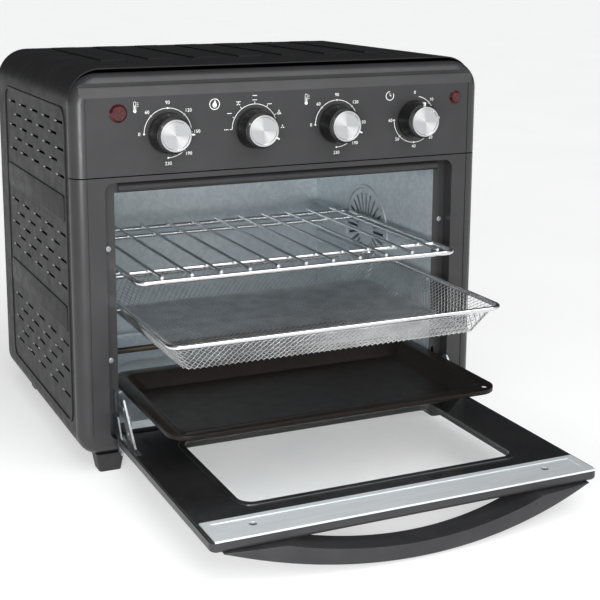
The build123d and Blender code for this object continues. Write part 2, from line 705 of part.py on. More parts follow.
def basket_rim():
    half = RACK_HALF - BASKET_WIRE_R
    front = -BASKET_OUT + BASKET_WIRE_R
    back = -BASKET_OUT + BASKET_LENGTH - BASKET_WIRE_R
    return flat_loop(half, front, back, BASKET_Z, BASKET_WIRE_R, 11)


def tapered_box(half, front, back, z_top, z_low, slope, radius):
    """A solid that narrows evenly towards its bottom."""
    top = Plane.XY.offset(z_top) * round_rect(-half, half, front, back, radius)
    bottom = round_rect(-half + slope, half - slope, front + slope, back - slope, radius)
    return loft([Plane.XY.offset(z_low) * bottom, top])


def basket_mesh():
    """Woven basket, drawn as the thin open tub that the mesh fills."""
    half = RACK_HALF - 2 * BASKET_WIRE_R - 0.2
    front = -BASKET_OUT + 2 * BASKET_WIRE_R + 0.2
    back = -BASKET_OUT + BASKET_LENGTH - 2 * BASKET_WIRE_R - 0.2
    outer = tapered_box(half, front, back, BASKET_Z, BASKET_BOTTOM, BASKET_SLOPE, 9)
    skin = BASKET_SKIN
    inner = tapered_box(half - skin, front + skin, back - skin, BASKET_Z + 0.01,
                        BASKET_BOTTOM + skin, BASKET_SLOPE, 8)
    return outer - inner


def baking_tray():
    """Sloped pan with a flat rim, turned down at its edge, and two hanging holes."""
    front = -TRAY_OUT
    back = front + TRAY_LENGTH
    rim = TRAY_RIM
    skin = TRAY_SKIN
    curl = 1.4
    half = TRAY_HALF - rim
    well = tapered_box(half, front + rim, back - rim, TRAY_Z, TRAY_BOTTOM, TRAY_SLOPE, TRAY_R - 8)
    hollow = tapered_box(half - skin, front + rim + skin, back - rim - skin,
                         TRAY_Z + 0.01, TRAY_BOTTOM + skin, TRAY_SLOPE, TRAY_R - 9)
    outline = round_rect(-TRAY_HALF, TRAY_HALF, front, back, TRAY_R)
    within_curl = round_rect(-TRAY_HALF + curl, TRAY_HALF - curl, front + curl, back - curl, TRAY_R - curl)
    flange = slab(outline, TRAY_Z - skin, TRAY_Z)
    lip = slab(outline, TRAY_Z - TRAY_LIP, TRAY_Z - skin / 2)
    lip -= slab(within_curl, TRAY_Z - TRAY_LIP - 1, TRAY_Z + 1)
    tray = well + flange + lip - hollow
    for x in (-TRAY_HALF + 12, TRAY_HALF - 12):
        tray -= rod_z(2.4, TRAY_Z - 3, TRAY_Z + 1, x, front + 10)
    return tray


# ---- assembly -----------------------------------------------------------------------------
def build():
    nodes["outer_casing"] = outer_casing()
    nodes["rear_panel"] = rear_panel()
    nodes["base_panel"] = base_panel()
    nodes["front_feet"] = feet("front")
    nodes["rear_feet"] = feet("rear")
    nodes["cord_gland"] = cord_gland()
    nodes["casing_screws"] = casing_screws()
    nodes["control_panel"] = control_panel()
    nodes["front_frame"] = front_frame()
    for name in LAMPS:
        nodes[name + "_lamp_lens"] = lamp_lens(name)
    bodies = ["upper_thermostat", "function_switch", "lower_thermostat", "timer_switch"]
    for index, name in enumerate(KNOB_NAMES):
        nodes[bodies[index]] = control_body(index)
        nodes[name + "_knob_shaft"] = knob_shaft(index)
        nodes[name + "_knob_body"] = knob_body(index)
        nodes[name + "_knob_cap"] = knob_cap(index)
    nodes["cavity_flange"] = cavity_flange()
    nodes["top_bar"] = top_bar()
    nodes["cavity_left_wall"] = cavity_side_wall("left")
    nodes["cavity_right_wall"] = cavity_side_wall("right")
    nodes["cavity_floor"] = cavity_floor()
    nodes["cavity_top"] = cavity_top()
    nodes["cavity_rear_wall"] = cavity_rear_wall()
    nodes["right_runners"] = rack_runners()
    nodes["left_runners"] = mirrored(rack_runners())
    nodes["crumb_tray"] = crumb_tray()
    nodes["lower_heaters"] = heaters(LOWER_HEATER_Z)
    nodes["upper_heaters"] = heaters(UPPER_HEATER_Z)
    nodes["heater_insulators"] = heater_insulators()
    nodes["fan_housing"] = fan_housing()
    nodes["fan_rotor"] = fan_rotor()
    nodes["fan_shaft"] = fan_shaft()
    nodes["fan_motor"] = fan_motor()
    nodes["hinge_brackets"] = both_sides(hinge_bracket())
    nodes["hinge_pins"] = both_sides(hinge_pins())
    nodes["hinge_springs"] = both_sides(hinge_spring())
    nodes["right_hinge_arm"] = hinge_arm()
    nodes["left_hinge_arm"] = mirrored(hinge_arm())
    nodes["door_frame"] = door_frame()
    nodes["door_inner_panel"] = door_inner_panel()
    nodes["door_glass"] = door_glass()
    nodes["door_trim_strip"] = door_trim_strip()
    nodes["door_handle"] = door_handle()
    nodes["handle_screws"] = handle_screws()
    nodes["rack_frame"] = rack_frame()
    nodes["rack_rods"] = rack_rods()
    nodes["basket_rim"] = basket_rim()
    nodes["basket_mesh"] = basket_mesh()
    nodes["baking_tray"] = baking_tray()


def write():
    os.makedirs("parts", exist_ok=True)
    for name, part in nodes.items():
        placed = Pos(0, FRONT_Y, 0) * part
        export_step(placed, "parts/" + name + ".step")
    print(len(nodes), "nodes, fascia front face at y =", FRONT_Y)


build()
write()
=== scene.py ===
"""Looks of a countertop toaster oven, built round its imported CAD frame.

Metres, +Z up, +X to the right as seen from the front, the front faces -Y.
At rest the door is open and the rack, basket and tray are drawn out.
"""
import json
import math

import bpy
from mathutils import Matrix, Vector


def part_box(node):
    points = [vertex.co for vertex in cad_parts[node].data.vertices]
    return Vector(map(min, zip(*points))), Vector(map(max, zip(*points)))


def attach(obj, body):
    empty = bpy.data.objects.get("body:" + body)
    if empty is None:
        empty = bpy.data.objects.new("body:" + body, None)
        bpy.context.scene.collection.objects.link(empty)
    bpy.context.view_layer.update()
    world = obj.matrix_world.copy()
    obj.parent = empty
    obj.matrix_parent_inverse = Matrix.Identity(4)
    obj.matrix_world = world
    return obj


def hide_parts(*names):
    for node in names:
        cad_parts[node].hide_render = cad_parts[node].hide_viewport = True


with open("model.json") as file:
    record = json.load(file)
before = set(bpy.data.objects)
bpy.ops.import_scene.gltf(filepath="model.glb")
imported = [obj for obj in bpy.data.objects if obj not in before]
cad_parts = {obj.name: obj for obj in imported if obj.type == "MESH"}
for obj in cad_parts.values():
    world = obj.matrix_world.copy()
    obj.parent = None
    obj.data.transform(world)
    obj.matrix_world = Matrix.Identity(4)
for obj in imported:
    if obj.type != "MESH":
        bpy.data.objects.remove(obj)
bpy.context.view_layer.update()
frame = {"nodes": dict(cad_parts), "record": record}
nodes = frame["nodes"]

MM = 0.001
FACE_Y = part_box("front_frame")[0].y          # front face of the fascia
SIDE_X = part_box("front_frame")[1].x          # outer face of the casing's side
KNOBS = ["upper_temp", "function", "lower_temp", "timer"]
POINTER_CLOCK = {"upper_temp": 90, "function": 118, "lower_temp": 113, "timer": 0}   # degrees past twelve


# ---- materials: helpers ---------------------------------------------------------------------
def hex_colour(code):
    """Turn an sRGB hex value into the linear colour that a socket takes."""
    channels = [int(code[i:i + 2], 16) / 255 for i in (0, 2, 4)]
    linear = [c / 12.92 if c <= 0.04045 else ((c + 0.055) / 1.055) ** 2.4 for c in channels]
    return (*linear, 1.0)


def per_mm(size):
    """Texture scale whose features are about size millimetres across."""
    return 1 / (size * MM)


def add_node(material, kind, settings=None, values=None, links=None):
    """Add a shader node, set its properties and socket values, and link its sockets."""
    node = material.node_tree.nodes.new(kind)
    for name, value in (settings or {}).items():
        setattr(node, name, value)
    for name, value in (values or {}).items():
        node.inputs[name].default_value = value
    for name, source in (links or {}).items():
        material.node_tree.links.new(source, node.inputs[name])
    return node


def new_finish(name, colour, metallic, roughness, **sockets):
    """Material, its Principled shader with its own sockets set, and its object coordinates."""
    material = bpy.data.materials.new(name)
    material.use_nodes = True
    shader = material.node_tree.nodes["Principled BSDF"]
    shader.inputs["Base Color"].default_value = hex_colour(colour)
    shader.inputs["Metallic"].default_value = metallic
    shader.inputs["Roughness"].default_value = roughness
    for socket, value in sockets.items():
        shader.inputs[socket.replace("_", " ")].default_value = value
    place = add_node(material, "ShaderNodeTexCoord").outputs["Object"]
    return material, shader, place


def join_socket(material, source, shader, socket):
    """Link a node's output to one of the shader's sockets."""
    material.node_tree.links.new(source, shader.inputs[socket])


def noise(material, place, size, detail=2.0):
    """Soft noise with features about size millimetres across."""
    values = {"Scale": per_mm(size), "Detail": detail}
    return add_node(material, "ShaderNodeTexNoise", values=values, links={"Vector": place}).outputs["Fac"]


def stretched(material, place, factors):
    """Coordinates scaled by a factor on each axis, for grain that runs one way."""
    mapping = add_node(material, "ShaderNodeMapping", links={"Vector": place})
    mapping.inputs["Scale"].default_value = factors
    return mapping.outputs["Vector"]


def tint(material, shader, factor, dark, light, low=0.35, high=0.65):
    """Colour that runs from dark to light as the factor rises from low to high."""
    ramp = add_node(material, "ShaderNodeValToRGB", links={"Fac": factor})
    first, last = ramp.color_ramp.elements
    first.position, last.position = low, high
    first.color, last.color = hex_colour(dark), hex_colour(light)
    join_socket(material, ramp.outputs["Color"], shader, "Base Color")


def spread_roughness(material, shader, factor, low, high):
    """Roughness that varies between two values with the factor."""
    spread = add_node(material, "ShaderNodeMapRange", links={"Value": factor},
                      values={"From Min": 0.3, "From Max": 0.7, "To Min": low, "To Max": high})
    join_socket(material, spread.outputs["Result"], shader, "Roughness")


def relief(material, shader, height, depth, strength=1.0):
    """Surface relief depth millimetres deep."""
    bump = add_node(material, "ShaderNodeBump", links={"Height": height},
                    values={"Strength": strength, "Distance": depth * MM})
    join_socket(material, bump.outputs["Normal"], shader, "Normal")


# ---- materials ------------------------------------------------------------------------------
def powder_coated_steel():
    """Charcoal powder coat on steel sheet: fine orange peel that breaks up reflections."""
    material, shader, place = new_finish("powder_coated_steel", "282829", 0.0, 0.42,
                                         Specular_IOR_Level=0.12)
    tint(material, shader, noise(material, place, 30), "272728", "2b2b2c")
    spread_roughness(material, shader, noise(material, place, 12), 0.40, 0.50)
    relief(material, shader, noise(material, place, 3), 0.03, 0.2)
    return material


def glint_painted_powder_coat():
    """Powder coat painted light grey on the crowns of the pressed louvres: a painted highlight that stands
    in for their glint.
    """
    material, shader, place = new_finish("glint_painted_powder_coat", "a2a2a4", 0.4, 0.3)
    # painted highlight: light grey tones stand in for the glint on the louvre crowns
    tint(material, shader, noise(material, place, 1.2), "909092", "b4b4b6")
    return material


def satin_enamelled_fascia():
    """Lighter satin coat on the fascia: smooth, with a faint unevenness in the gloss."""
    material, shader, place = new_finish("satin_enamelled_fascia", "313132", 0.0, 0.28,
                                         Specular_IOR_Level=0.4)
    tint(material, shader, noise(material, place, 40), "2f2f30", "333334")
    spread_roughness(material, shader, noise(material, place, 12), 0.30, 0.36)
    relief(material, shader, noise(material, place, 3), 0.02, 0.2)
    return material


def hot_dip_galvanised_sheet():
    """Zinc-coated sheet: crystal spangles a few millimetres across, each its own grey."""
    material, shader, place = new_finish("hot_dip_galvanised_sheet", "c6ced2", 0.55, 0.42)
    spangle_mm = 4.0
    cells = add_node(material, "ShaderNodeTexVoronoi", values={"Scale": per_mm(spangle_mm)},
                     links={"Vector": place})
    tone = add_node(material, "ShaderNodeSeparateColor", links={"Color": cells.outputs["Color"]})
    tint(material, shader, tone.outputs["Red"], "c1cacf", "cdd5d9", 0.1, 0.9)
    spread_roughness(material, shader, tone.outputs["Green"], 0.36, 0.48)
    relief(material, shader, noise(material, place, 1.5), 0.04, 0.3)
    return material


def chrome_plated_wire():
    """Bright chrome on drawn wire: near mirror, with faint drawing ripples."""
    material, shader, place = new_finish("chrome_plated_wire", "e6e7e8", 1.0, 0.2)
    spread_roughness(material, shader, noise(material, place, 4), 0.16, 0.26)
    relief(material, shader, noise(material, place, 1.2), 0.03, 0.3)
    return material


def woven_stainless_wire():
    """Fine stainless wire cloth: grey, a little dull."""
    material, shader, place = new_finish("woven_stainless_wire", "c3c4c4", 1.0, 0.30)
    tint(material, shader, noise(material, place, 18), "b2b3b3", "d0d1d1")
    return material


def non_stick_coated_steel():
    """Brown-black non-stick coat: satin, with fine flecks and a pebbled skin."""
    material, shader, place = new_finish("non_stick_coated_steel", "17120f", 0.0, 0.36,
                                         Specular_IOR_Level=0.2)
    tint(material, shader, noise(material, place, 6, 4.0), "15100d", "1c1613", 0.4, 0.75)
    spread_roughness(material, shader, noise(material, place, 12), 0.33, 0.40)
    relief(material, shader, noise(material, place, 3.0), 0.02, 0.2)
    return material


def black_vitreous_enamel():
    """Glossy black enamel fired on sheet: deep gloss with a slight waviness."""
    material, shader, place = new_finish("black_vitreous_enamel", "202021", 0.0, 0.22, Coat_Weight=0.3)
    tint(material, shader, noise(material, place, 25), "1e1e1f", "242425")
    spread_roughness(material, shader, noise(material, place, 14), 0.16, 0.26)
    relief(material, shader, noise(material, place, 5), 0.06, 0.3)
    return material


def tempered_float_glass():
    """Clear tempered glass: the faint roller wave shows in its reflections."""
    material, shader, place = new_finish("tempered_float_glass", "fcfefe", 0.0, 0.0,
                                         Transmission_Weight=1.0, IOR=1.2)
    tint(material, shader, noise(material, place, 60), "fafdfd", "ffffff")
    relief(material, shader, noise(material, place, 40), 0.08, 0.15)
    return material


def brushed_galvanised_strip():
    """Rolled zinc-coated strip: fine lines along its length and a soft sheen."""
    material, shader, place = new_finish("brushed_galvanised_strip", "d9dee1", 0.35, 0.42)
    lines = noise(material, stretched(material, place, (0.02, 1.0, 1.0)), 0.8)
    tint(material, shader, lines, "d2d8db", "e2e6e8")
    spread_roughness(material, shader, lines, 0.38, 0.46)
    relief(material, shader, lines, 0.02, 0.3)
    return material


def moulded_handle_plastic():
    """Heat-proof moulded plastic: charcoal, fine even spark-eroded grain."""
    material, shader, place = new_finish("moulded_handle_plastic", "2a2a2b", 0.0, 0.38,
                                         Specular_IOR_Level=0.4)
    tint(material, shader, noise(material, place, 22), "28282a", "2e2e2f")
    relief(material, shader, noise(material, place, 0.6), 0.05, 0.5)
    return material


def moulded_knob_plastic():
    """Moulded phenolic: black, satin, with a faint grain."""
    material, shader, place = new_finish("moulded_knob_plastic", "121213", 0.0, 0.30,
                                         Specular_IOR_Level=0.35)
    tint(material, shader, noise(material, place, 10), "101011", "161617")
    relief(material, shader, noise(material, place, 0.5), 0.03, 0.4)
    return material


def spun_aluminium(name, centre):
    """Aluminium face turned on a lathe: concentric lines in the relief, with bright and dark rays from the
    centre painted into the colour as a painted highlight.
    """
    material, shader, place = new_finish("spun_aluminium_" + name, "e2e3e4", 1.0, 0.22)
    centring = add_node(material, "ShaderNodeMapping", links={"Vector": place})
    centring.inputs["Location"].default_value = -centre
    line_pitch_mm = 0.45        # real turning lines are finer; these still show
    wave_per_metre = per_mm(line_pitch_mm) / 20
    rings = add_node(material, "ShaderNodeTexWave", links={"Vector": centring.outputs["Vector"]},
                     settings={"wave_type": "RINGS", "rings_direction": "Y"},
                     values={"Scale": wave_per_metre, "Distortion": 0.4, "Detail": 1.0})
    # painted highlight: the colour runs light and dark with the angle round the centre, for the rays of
    # light the turning lines throw
    sectors = add_node(material, "ShaderNodeMapping", links={"Vector": centring.outputs["Vector"]})
    sectors.inputs["Rotation"].default_value = (math.pi / 2, 0, 0)
    angle = add_node(material, "ShaderNodeTexGradient", settings={"gradient_type": "RADIAL"},
                     links={"Vector": sectors.outputs["Vector"]})
    painted_rays = add_node(material, "ShaderNodeMath", settings={"operation": "SINE"})
    turns = add_node(material, "ShaderNodeMath", settings={"operation": "MULTIPLY"},
                     links={0: angle.outputs["Fac"]}, values={1: 4 * math.pi})
    join_socket(material, turns.outputs[0], painted_rays, 0)
    tint(material, shader, painted_rays.outputs[0], "c9cbcd", "f0f0f0", 0.0, 1.0)
    relief(material, shader, rings.outputs["Fac"], 0.03, 0.6)
    return material


def red_lamp_lens():
    """Moulded red lens: glossy outside, with small prisms that break up the light behind."""
    material, shader, place = new_finish("red_lamp_lens", "480a0d", 0.0, 0.14, Coat_Weight=0.3)
    prism_mm = 1.6
    prisms = add_node(material, "ShaderNodeTexVoronoi", values={"Scale": per_mm(prism_mm)},
                      links={"Vector": place})
    tint(material, shader, prisms.outputs["Distance"], "5e0e12", "2c0608", 0.1, 0.6)
    relief(material, shader, prisms.outputs["Distance"], 0.12, 0.5)
    return material


def oxidised_heater_sheath():
    """Incoloy tube after firing: grey-brown with straw and blue heat marks."""
    material, shader, place = new_finish("oxidised_heater_sheath", "5d5650", 1.0, 0.45)
    heat_marks = noise(material, stretched(material, place, (0.2, 1.0, 1.0)), 8)
    tint(material, shader, heat_marks, "4a4540", "77695a")
    spread_roughness(material, shader, noise(material, place, 5), 0.38, 0.55)
    return material


def glazed_ceramic():
    """Steatite insulator: off-white with a thin glaze."""
    material, shader, place = new_finish("glazed_ceramic", "e6e1d6", 0.0, 0.30)
    tint(material, shader, noise(material, place, 3), "ddd7ca", "efeae0")
    return material


def foot_rubber():
    """Moulded rubber-like plastic foot: matt, dark."""
    material, shader, place = new_finish("foot_rubber", "1f1f20", 0.0, 0.55)
    tint(material, shader, noise(material, place, 8), "1b1b1c", "252526")
    relief(material, shader, noise(material, place, 0.8), 0.05, 0.5)
    return material


def phenolic_switch_case():
    """Cream moulded switch case, slightly mottled."""
    material, shader, place = new_finish("phenolic_switch_case", "d8d2c4", 0.0, 0.5)
    tint(material, shader, noise(material, place, 5), "d0c9b9", "e0dbcf")
    return material


def zinc_plated_steel():
    """Passivated zinc plate: grey with a dull, uneven sheen."""
    material, shader, place = new_finish("zinc_plated_steel", "aeb2b4", 1.0, 0.36)
    tint(material, shader, noise(material, place, 4), "9ea2a5", "c2c6c8")
    spread_roughness(material, shader, noise(material, place, 2.5), 0.28, 0.44)
    return material


def gland_nylon():
    """Black nylon with a light grain."""
    material, shader, place = new_finish("gland_nylon", "181819", 0.0, 0.45)
    tint(material, shader, noise(material, place, 6), "151516", "1e1e1f")
    return material


def screen_printed_ink():
    """White screen-printed ink: flat, faintly uneven in density."""
    material, shader, place = new_finish("screen_printed_ink", "e9e9e8", 0.0, 0.5)
    tint(material, shader, noise(material, place, 1.5), "dcdcdb", "f2f2f1")
    return material


def pale_floor_paint():
    """Seamless studio floor, lit from beneath: matt white with a very slight mottle and light shadows."""
    material, shader, place = new_finish("pale_floor_paint", "c8c8c8", 0.0, 0.8, Specular_IOR_Level=0.1,
                                         Emission_Color=hex_colour("ffffff"), Emission_Strength=0.5)
    tint(material, shader, noise(material, place, 300), "c6c6c6", "cacaca")
    return material


FINISHES = {
    "casing_paint": powder_coated_steel(),
    "fascia_paint": satin_enamelled_fascia(),
    "galvanised": hot_dip_galvanised_sheet(),
    "chrome": chrome_plated_wire(),
    "mesh_steel": woven_stainless_wire(),
    "tray_coating": non_stick_coated_steel(),
    "door_enamel": black_vitreous_enamel(),
    "door_glass": tempered_float_glass(),
    "trim_steel": brushed_galvanised_strip(),
    "handle_plastic": moulded_handle_plastic(),
    "knob_plastic": moulded_knob_plastic(),
    "lens_red": red_lamp_lens(),
    "heater_tube": oxidised_heater_sheath(),
    "ceramic": glazed_ceramic(),
    "foot_plastic": foot_rubber(),
    "switch_body": phenolic_switch_case(),
    "zinc": zinc_plated_steel(),
    "gland_plastic": gland_nylon(),
}
INK = screen_printed_ink()
# painted highlight for the crowns of the louvre bumps
PAINTED_GLINT = glint_painted_powder_coat()


def finish_nodes():
    """Give every carried-over CAD node its finish."""
    for part in frame["record"]["subparts"]:
        node = nodes[part["node"]]
        slot = part["material_slot"]
        if slot == "knob_cap":
            low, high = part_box(part["node"])
            material = spun_aluminium(part["node"], (low + high) / 2)
        else:
            material = FINISHES[slot]
        node.data.materials.clear()
        node.data.materials.append(material)


# ---- modelling: helpers ---------------------------------------------------------------------
def deselect():
    """Leave edit mode and select nothing."""
    if bpy.context.object and bpy.context.object.mode != "OBJECT":
        bpy.ops.object.mode_set(mode="OBJECT")
    bpy.ops.object.select_all(action="DESELECT")


def make_active(piece):
    """Select one piece alone, for the operators that follow."""
    deselect()
    piece.select_set(True)
    bpy.context.view_layer.objects.active = piece


def pick(piece, element, wanted):
    """Select the faces, edges or vertices that wanted accepts, and go into edit mode."""
    make_active(piece)
    bpy.ops.object.mode_set(mode="EDIT")
    bpy.ops.mesh.select_mode(type={"polygons": "FACE", "edges": "EDGE", "vertices": "VERT"}[element])
    bpy.ops.mesh.select_all(action="DESELECT")
    bpy.ops.object.mode_set(mode="OBJECT")
    for item in getattr(piece.data, element):
        item.select = wanted(item)
    bpy.ops.object.mode_set(mode="EDIT")


def settle(piece):
    """Put the piece's place, turn and size into its mesh."""
    make_active(piece)
    bpy.ops.object.transform_apply(location=True, rotation=True, scale=True)


def add_modifier(piece, kind, **settings):
    """Add a modifier, set it and apply it."""
    make_active(piece)
    modifier = piece.modifiers.new(kind.lower(), kind)
    for name, value in settings.items():
        setattr(modifier, name, value)
    bpy.ops.object.modifier_apply(modifier=modifier.name)


def soften(piece, angle=35):
    """Smooth shading, with edges sharper than the angle left crisp."""
    make_active(piece)
    bpy.ops.object.shade_smooth_by_angle(angle=math.radians(angle))


def copy_of(piece, matrix):
    """A copy with its own mesh, moved by the matrix."""
    twin = piece.copy()
    twin.data = piece.data.copy()
    twin.data.transform(matrix)
    bpy.context.scene.collection.objects.link(twin)
    return twin


def joined(pieces, name):
    """One object made of several."""
    deselect()
    for piece in pieces:
        piece.select_set(True)
    bpy.context.view_layer.objects.active = pieces[0]
    bpy.ops.object.join()
    whole = bpy.context.object
    whole.name = name
    return whole


def hand_over(piece, body, slot, material, *replaced):
    """Finish a piece: its material, its body and the nodes it stands for. The slot is not used."""
    piece.data.materials.clear()
    piece.data.materials.append(material)
    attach(piece, body)
    if replaced:
        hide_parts(*replaced)


def box_between(low, high):
    """A box between two corners, to be shaped further."""
    deselect()
    low, high = Vector(low), Vector(high)
    bpy.ops.mesh.primitive_cube_add(size=1, location=(low + high) / 2)
    piece = bpy.context.object
    piece.scale = high - low
    settle(piece)
    return piece


def rounded_box(low, high, radius, segments=2):
    """A box with its edges rounded over."""
    piece = box_between(low, high)
    add_modifier(piece, "BEVEL", width=radius, segments=segments)
    soften(piece)
    return piece


# ---- casing ---------------------------------------------------------------------------------
FIELD_FRONT = FACE_Y + 20 * MM
FIELD_BACK = FACE_Y + 252 * MM
FIELD_LOW = 41 * MM
FIELD_TOP = 325 * MM


def along_x(edge, mesh):
    """Whether an edge runs from side to side."""
    a, b = (mesh.vertices[i].co for i in edge.vertices)
    return abs(a.x - b.x) > max(abs(a.y - b.y), abs(a.z - b.z)) * 4


def pressed_pad(y0, y1, z0, z1, corner, height):
    """A low raised area on the right side of the casing, with rounded corners and edges."""
    pad = box_between((SIDE_X - 0.3 * MM, y0, z0), (SIDE_X + height, y1, z1))
    pick(pad, "edges", lambda edge: along_x(edge, pad.data))
    bpy.ops.mesh.bevel(offset=corner, segments=8)
    bpy.ops.object.mode_set(mode="OBJECT")
    pick(pad, "polygons", lambda face: face.normal.x > 0.9)
    bpy.ops.mesh.bevel(offset=height * 0.9, segments=3)
    bpy.ops.object.mode_set(mode="OBJECT")
    soften(pad, 50)
    return pad


def field_border():
    """Raised bead round the slotted field on the right side."""
    corner, width, height = 14 * MM, 3.2 * MM, 1.0 * MM
    deselect()
    middle = ((FIELD_FRONT + FIELD_BACK) / 2, (FIELD_LOW + FIELD_TOP) / 2)
    sunk = 0.2 * MM
    bpy.ops.mesh.primitive_plane_add(size=1, location=(SIDE_X - sunk, *middle), rotation=(0, math.pi / 2, 0))
    border = bpy.context.object
    border.scale = (FIELD_TOP - FIELD_LOW, FIELD_BACK - FIELD_FRONT, 1)
    settle(border)
    pick(border, "vertices", lambda vertex: True)
    bpy.ops.mesh.bevel(offset=corner, segments=10, affect="VERTICES")
    bpy.ops.mesh.select_all(action="SELECT")
    bpy.ops.mesh.inset(thickness=width)
    bpy.ops.mesh.delete(type="FACE")
    bpy.ops.mesh.select_all(action="SELECT")
    bpy.ops.mesh.extrude_region_move(TRANSFORM_OT_translate={"value": (height + sunk, 0, 0)})
    bpy.ops.object.mode_set(mode="OBJECT")
    add_modifier(border, "BEVEL", width=0.45 * MM, segments=3, angle_limit=math.radians(50))
    pick(border, "polygons", lambda face: True)
    bpy.ops.mesh.normals_make_consistent(inside=False)
    bpy.ops.object.mode_set(mode="OBJECT")
    soften(border, 60)
    return border


def louvre_bump():
    """Teardrop pressed out over a slot, at the origin, its blunt end at the back."""
    deselect()
    bpy.ops.mesh.primitive_uv_sphere_add(segments=12, ring_count=8, radius=1.9 * MM)
    bump = bpy.context.object
    bump.scale = (0.58, 1.0, 0.62)
    settle(bump)
    pick(bump, "vertices", lambda vertex: vertex.co.y < -0.2 * MM)
    bpy.ops.transform.resize(value=(0.8, 2.2, 0.7), center_override=(0, 0, 0))
    bpy.ops.mesh.select_all(action="SELECT")
    bpy.ops.mesh.bisect(plane_co=(0, 0, 0), plane_no=(1, 0, 0), clear_inner=True, use_fill=True)
    bpy.ops.object.mode_set(mode="OBJECT")
    soften(bump, 60)
    return bump


def louvre_places():
    """Centres of the bumps behind the side's slots, in three staggered banks."""
    pitch_y, pitch_z = 45 * MM, 11.8 * MM
    first_y = FACE_Y + 51.5 * MM
    middle = 1.2 * MM
    for top in (310 * MM, 211 * MM, 112 * MM):
        for row in range(5):
            staggered = row % 2
            for column in range(5 - staggered):
                yield first_y + (column + staggered / 2) * pitch_y, top + middle - row * pitch_z


def mirrored_piece(piece, name):
    """The same piece on the left side, its faces turned the right way out again."""
    twin = copy_of(piece, Matrix.Scale(-1, 4, (1, 0, 0)))
    twin.data.flip_normals()
    twin.name = name
    return twin


def dress_casing():
    """Pressings on both sides of the casing: border, raised bands and louvre bumps."""
    pads = [pressed_pad(FIELD_FRONT + 7 * MM, FIELD_BACK - 7 * MM, z0 * MM, z1 * MM, 6 * MM, 1.0 * MM)
            for z0, z1 in ((125, 149), (224, 248))]
    model = louvre_bump()
    bumps = [copy_of(model, Matrix.Translation((SIDE_X - 0.1 * MM, y, z))) for y, z in louvre_places()]
    bpy.data.objects.remove(model)
    # the louvre bumps take the painted highlight finish
    for name, parts, material in (("side_field_border", [field_border()], FINISHES["casing_paint"]),
                                  ("side_raised_bands", pads, FINISHES["casing_paint"]),
                                  ("louvre_bumps", bumps, PAINTED_GLINT)):
        right = joined(parts, name + "_right")
        left = mirrored_piece(right, name + "_left")
        for piece in (right, left):
            hand_over(piece, "root", "casing_paint", material)


# ---- dials ----------------------------------------------------------------------------------
INK_T = 0.12 * MM
DIAL_R = 21.6 * MM
LABEL_R = 25.6 * MM


def on_face(x, z):
    """A point on the fascia's front face."""
    return Vector((x, FACE_Y, z))


def clock_point(centre, radius, clock):
    """The point at a clock angle, in degrees past twelve, seen from the front."""
    turn = math.radians(clock)
    return on_face(centre.x + radius * math.sin(turn), centre.z + radius * math.cos(turn))


def clock_of(point, centre):
    """Clock angle of a point round a centre, in degrees past twelve."""
    return math.degrees(math.atan2(point.x - centre.x, point.z - centre.z)) % 360


def raise_ink(piece):
    """Give a flat mark the ink's thickness, outwards from the face."""
    pick(piece, "polygons", lambda face: True)
    bpy.ops.mesh.extrude_region_move(TRANSFORM_OT_translate={"value": (0, -INK_T, 0)})
    bpy.ops.mesh.select_all(action="SELECT")
    bpy.ops.mesh.normals_make_consistent(inside=False)
    bpy.ops.object.mode_set(mode="OBJECT")
    return piece


def ink_arc(centre, radius, width, start, sweep, steps=96):
    """A printed arc that sweeps clockwise from a clock angle."""
    deselect()
    bpy.ops.mesh.primitive_circle_add(vertices=steps, radius=radius + width / 2, location=centre,
                                      rotation=(math.pi / 2, 0, 0))
    arc = bpy.context.object
    settle(arc)
    spare = 1e-3
    pick(arc, "vertices",
         lambda vertex: (clock_of(vertex.co, centre) - start + spare) % 360 > sweep + 2 * spare)
    bpy.ops.mesh.delete(type="VERT")
    bpy.ops.mesh.select_all(action="SELECT")
    bpy.ops.mesh.extrude_edges_move()
    shrink = (radius - width / 2) / (radius + width / 2)
    bpy.ops.transform.resize(value=(shrink, shrink, shrink), center_override=centre)
    bpy.ops.object.mode_set(mode="OBJECT")
    return raise_ink(arc)


def ink_dot(point, radius):
    """A printed dot."""
    deselect()
    bpy.ops.mesh.primitive_circle_add(vertices=16, radius=radius, location=point, fill_type="NGON",
                                      rotation=(math.pi / 2, 0, 0))
    dot = bpy.context.object
    settle(dot)
    return raise_ink(dot)


def ink_bar(centre, length, width, clock=90):
    """A printed bar, its length along a clock angle."""
    deselect()
    bpy.ops.mesh.primitive_plane_add(size=1, location=centre,
                                     rotation=(math.pi / 2, math.radians(clock - 90), 0))
    bar = bpy.context.object
    bar.scale = (length, width, 1)
    settle(bar)
    return raise_ink(bar)


def ink_number(text, point, height=4.2 * MM):
    """A printed numeral, centred on a point."""
    deselect()
    bpy.ops.object.text_add(location=point, rotation=(math.pi / 2, 0, 0))
    label = bpy.context.object
    label.data.body = text
    label.data.size = height
    label.data.align_x = "CENTER"
    label.data.align_y = "CENTER"
    label.data.extrude = 0
    label.data.resolution_u = 3
    bpy.ops.object.convert(target="MESH")
    label = bpy.context.object
    settle(label)
    return raise_ink(label)


def thermometer_icon(x, z):
    """A tube with a bulb, and three ticks beside it."""
    centre = on_face(x, z)
    up = Vector((0, 0, 1))
    tube_half = 1.0 * MM
    top, bottom = centre + up * 4.2 * MM, centre - up * 2.8 * MM
    line = 0.35 * MM
    marks = [ink_bar(centre + Vector((side * tube_half, 0, 0.8 * MM)), 6.4 * MM, line, 0)
             for side in (-1, 1)]
    marks.append(ink_arc(top, tube_half, line, 270, 180, 24))
    marks.append(ink_dot(bottom, 1.5 * MM))
    marks.append(ink_bar(centre, 4.2 * MM, 0.5 * MM, 0))
    for step in range(3):
        marks.append(ink_bar(top + Vector((2.6 * MM, 0, -step * 1.5 * MM)), 1.4 * MM, line))
    return marks


